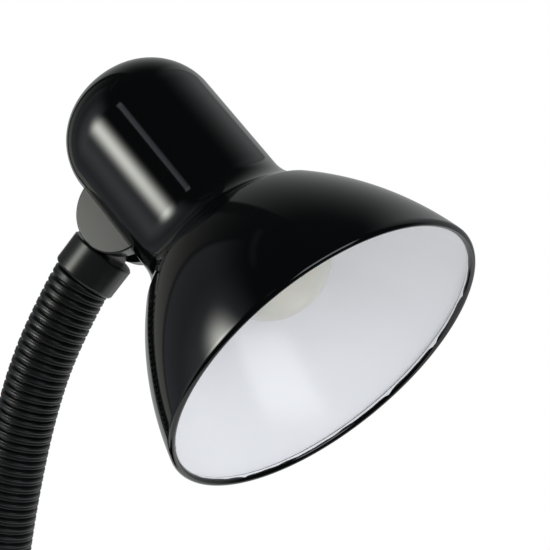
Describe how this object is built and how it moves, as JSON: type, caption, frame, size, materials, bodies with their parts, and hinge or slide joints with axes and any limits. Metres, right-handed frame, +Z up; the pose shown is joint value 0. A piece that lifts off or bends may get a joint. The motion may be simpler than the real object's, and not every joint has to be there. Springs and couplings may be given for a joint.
{
  "type": "desk lamp",
  "caption": "Round-based desk lamp with a ribbed flexible neck and a tilting bell-shaped shade over a round frosted bulb, gloss black outside and white inside.",
  "frame": {"origin": "middle of the pad under the base, on the desk", "axes": "+Z up, +X the way the flexible neck leans, over the rocker switch; the shade is turned towards -Y; millimetre solids, metre row"},
  "size_m": [0.2409, 0.2062, 0.4283],
  "materials": {
    "shade_enamel": "spun aluminium with gloss black stove enamel outside and satin white inside",
    "black_casting": "satin black glass-filled nylon",
    "sleeve_black": "satin black ribbed sleeve",
    "conduit_steel": "wound steel conduit",
    "zinc_steel": "zinc plated",
    "bracket_steel": "pressed and zinc plated",
    "brass": "rolled brass",
    "holder_phenolic": "black moulded phenolic",
    "frosted_glass": "frosted glass",
    "cap_aluminium": "drawn aluminium cap",
    "insulator_black": "black vitrified insulator",
    "cover_black": "gloss black moulded cover",
    "ballast_iron": "as cast",
    "bottom_steel": "black painted sheet",
    "pad_rubber": "matt foam rubber",
    "switch_black": "black moulded nylon",
    "rocker_black": "black polished rocker",
    "block_white": "natural nylon",
    "lead_insulation": "extruded lead insulation"
  },
  "bodies": {
    "base": {"base_cover": "cover_black", "ballast": "ballast_iron", "bottom_plate": "bottom_steel", "bottom_screws": "zinc_steel", "foot_pad": "pad_rubber", "neck_collar": "black_casting", "collar_washer": "zinc_steel", "collar_nut": "zinc_steel", "neck_link_00": "conduit_steel", "neck_sleeve_01": "sleeve_black", "switch_body": "switch_black", "switch_blades": "brass", "terminal_block": "block_white", "wiring_screws": "zinc_steel", "base_leads": "lead_insulation", "cord_clamp": "block_white", "cord_gland": "pad_rubber", "lamp_lead": "lead_insulation"},
    "rocker": {"switch_rocker": "rocker_black"},
    "neck_01": {"neck_link_01": "conduit_steel", "neck_sleeve_02": "sleeve_black"},
    "neck_02": {"neck_link_02": "conduit_steel", "neck_sleeve_03": "sleeve_black"},
    "neck_03": {"neck_link_03": "conduit_steel", "neck_sleeve_04": "sleeve_black"},
    "neck_04": {"neck_link_04": "conduit_steel", "neck_sleeve_05": "sleeve_black"},
    "neck_05": {"neck_link_05": "conduit_steel", "neck_sleeve_06": "sleeve_black"},
    "neck_06": {"neck_link_06": "conduit_steel", "neck_sleeve_07": "sleeve_black"},
    "neck_07": {"neck_link_07": "conduit_steel", "neck_sleeve_08": "sleeve_black"},
    "neck_08": {"neck_link_08": "conduit_steel", "neck_sleeve_09": "sleeve_black"},
    "neck_09": {"neck_link_09": "conduit_steel", "neck_sleeve_10": "sleeve_black"},
    "neck_10": {"neck_link_10": "conduit_steel", "neck_sleeve_11": "sleeve_black"},
    "neck_11": {"neck_link_11": "conduit_steel", "neck_sleeve_12": "sleeve_black"},
    "neck_top": {"neck_link_12": "conduit_steel", "neck_ferrule": "black_casting"},
    "head": {"shade": "shade_enamel", "knuckle_block": "black_casting", "backing_plate": "bracket_steel", "knuckle_screws": "zinc_steel", "pivot_bolt": "zinc_steel", "pivot_nut": "zinc_steel", "friction_washers": "zinc_steel", "lamp_holder": "holder_phenolic", "holder_screw_shell": "brass", "holder_contact": "brass", "holder_nipple": "zinc_steel", "nipple_nut": "zinc_steel", "holder_bracket": "bracket_steel", "bulb_globe": "frosted_glass", "bulb_cap": "cap_aluminium", "bulb_insulator": "insulator_black", "bulb_contact": "brass"}
  },
  "joints": [
    {"name": "neck_bend_01", "type": "hinge", "parent": "base", "child": "neck_01", "pos_m": [-0.032, 0, 0.0566], "axis": [0, 1, 0], "range_deg": [-9, 9], "deforming": ["neck_sleeve_01", "lamp_lead"]},
    {"name": "neck_side_02", "type": "hinge", "parent": "neck_01", "child": "neck_02", "pos_m": [-0.03198, 0, 0.0818], "axis": [1, 0, -0.0026], "range_deg": [-9, 9], "deforming": ["neck_sleeve_02", "lamp_lead"]},
    {"name": "neck_bend_03", "type": "hinge", "parent": "neck_02", "child": "neck_03", "pos_m": [-0.03183, 0, 0.107], "axis": [0, 1, 0], "range_deg": [-9, 9], "deforming": ["neck_sleeve_03", "lamp_lead"]},
    {"name": "neck_bend_04", "type": "hinge", "parent": "neck_03", "child": "neck_04", "pos_m": [-0.03137, 0, 0.1322], "axis": [0, 1, 0], "range_deg": [-9, 9], "deforming": ["neck_sleeve_04", "lamp_lead"]},
    {"name": "neck_side_05", "type": "hinge", "parent": "neck_04", "child": "neck_05", "pos_m": [-0.03047, 0, 0.15738], "axis": [0.9989, 0, -0.0471], "range_deg": [-9, 9], "deforming": ["neck_sleeve_05", "lamp_lead"]},
    {"name": "neck_bend_06", "type": "hinge", "parent": "neck_05", "child": "neck_06", "pos_m": [-0.02896, 0, 0.18253], "axis": [0, 1, 0], "range_deg": [-9, 9], "deforming": ["neck_sleeve_06", "lamp_lead"]},
    {"name": "neck_bend_07", "type": "hinge", "parent": "neck_06", "child": "neck_07", "pos_m": [-0.02664, 0, 0.20762], "axis": [0, 1, 0], "range_deg": [-10, 14], "deforming": ["neck_sleeve_07", "lamp_lead"]},
    {"name": "neck_side_08", "type": "hinge", "parent": "neck_07", "child": "neck_08", "pos_m": [-0.02333, 0, 0.2326], "axis": [0.9881, 0, -0.1538], "range_deg": [-9, 9], "deforming": ["neck_sleeve_08", "lamp_lead"]},
    {"name": "neck_bend_09", "type": "hinge", "parent": "neck_08", "child": "neck_09", "pos_m": [-0.01889, 0, 0.25741], "axis": [0, 1, 0], "range_deg": [-10, 14], "deforming": ["neck_sleeve_09", "lamp_lead"]},
    {"name": "neck_bend_10", "type": "hinge", "parent": "neck_09", "child": "neck_10", "pos_m": [-0.01332, 0, 0.28198], "axis": [0, 1, 0], "range_deg": [-10, 14], "deforming": ["neck_sleeve_10", "lamp_lead"]},
    {"name": "neck_side_11", "type": "hinge", "parent": "neck_10", "child": "neck_11", "pos_m": [-0.00577, 0, 0.30601], "axis": [0.9336, 0, -0.3584], "range_deg": [-9, 9], "deforming": ["neck_sleeve_11", "lamp_lead"]},
    {"name": "neck_bend_12", "type": "hinge", "parent": "neck_11", "child": "neck_top", "pos_m": [0.00466, 0, 0.32894], "axis": [0, 1, 0], "range_deg": [-10, 14], "deforming": ["neck_sleeve_12", "lamp_lead"]},
    {"name": "head_tilt", "type": "hinge", "parent": "neck_top", "child": "head", "pos_m": [0.03063, 0, 0.36555], "axis": [0.5706, 0.6928, -0.441], "range_deg": [-35, 20], "deforming": ["lamp_lead"]},
    {"name": "switch_rock", "type": "hinge", "parent": "base", "child": "rocker", "pos_m": [0.036, 0, 0.0266], "axis": [0, 1, 0], "range_deg": [0, 16]}
  ],
  "couplings": [
    {"joint": "neck_bend_03", "follows": "neck_bend_01", "ratio": 1},
    {"joint": "neck_bend_04", "follows": "neck_bend_01", "ratio": 1},
    {"joint": "neck_side_05", "follows": "neck_side_02", "ratio": 1},
    {"joint": "neck_bend_06", "follows": "neck_bend_01", "ratio": 1},
    {"joint": "neck_side_08", "follows": "neck_side_02", "ratio": 1},
    {"joint": "neck_bend_09", "follows": "neck_bend_07", "ratio": 1},
    {"joint": "neck_bend_10", "follows": "neck_bend_07", "ratio": 1},
    {"joint": "neck_side_11", "follows": "neck_side_02", "ratio": 1},
    {"joint": "neck_bend_12", "follows": "neck_bend_07", "ratio": 1}
  ]
}
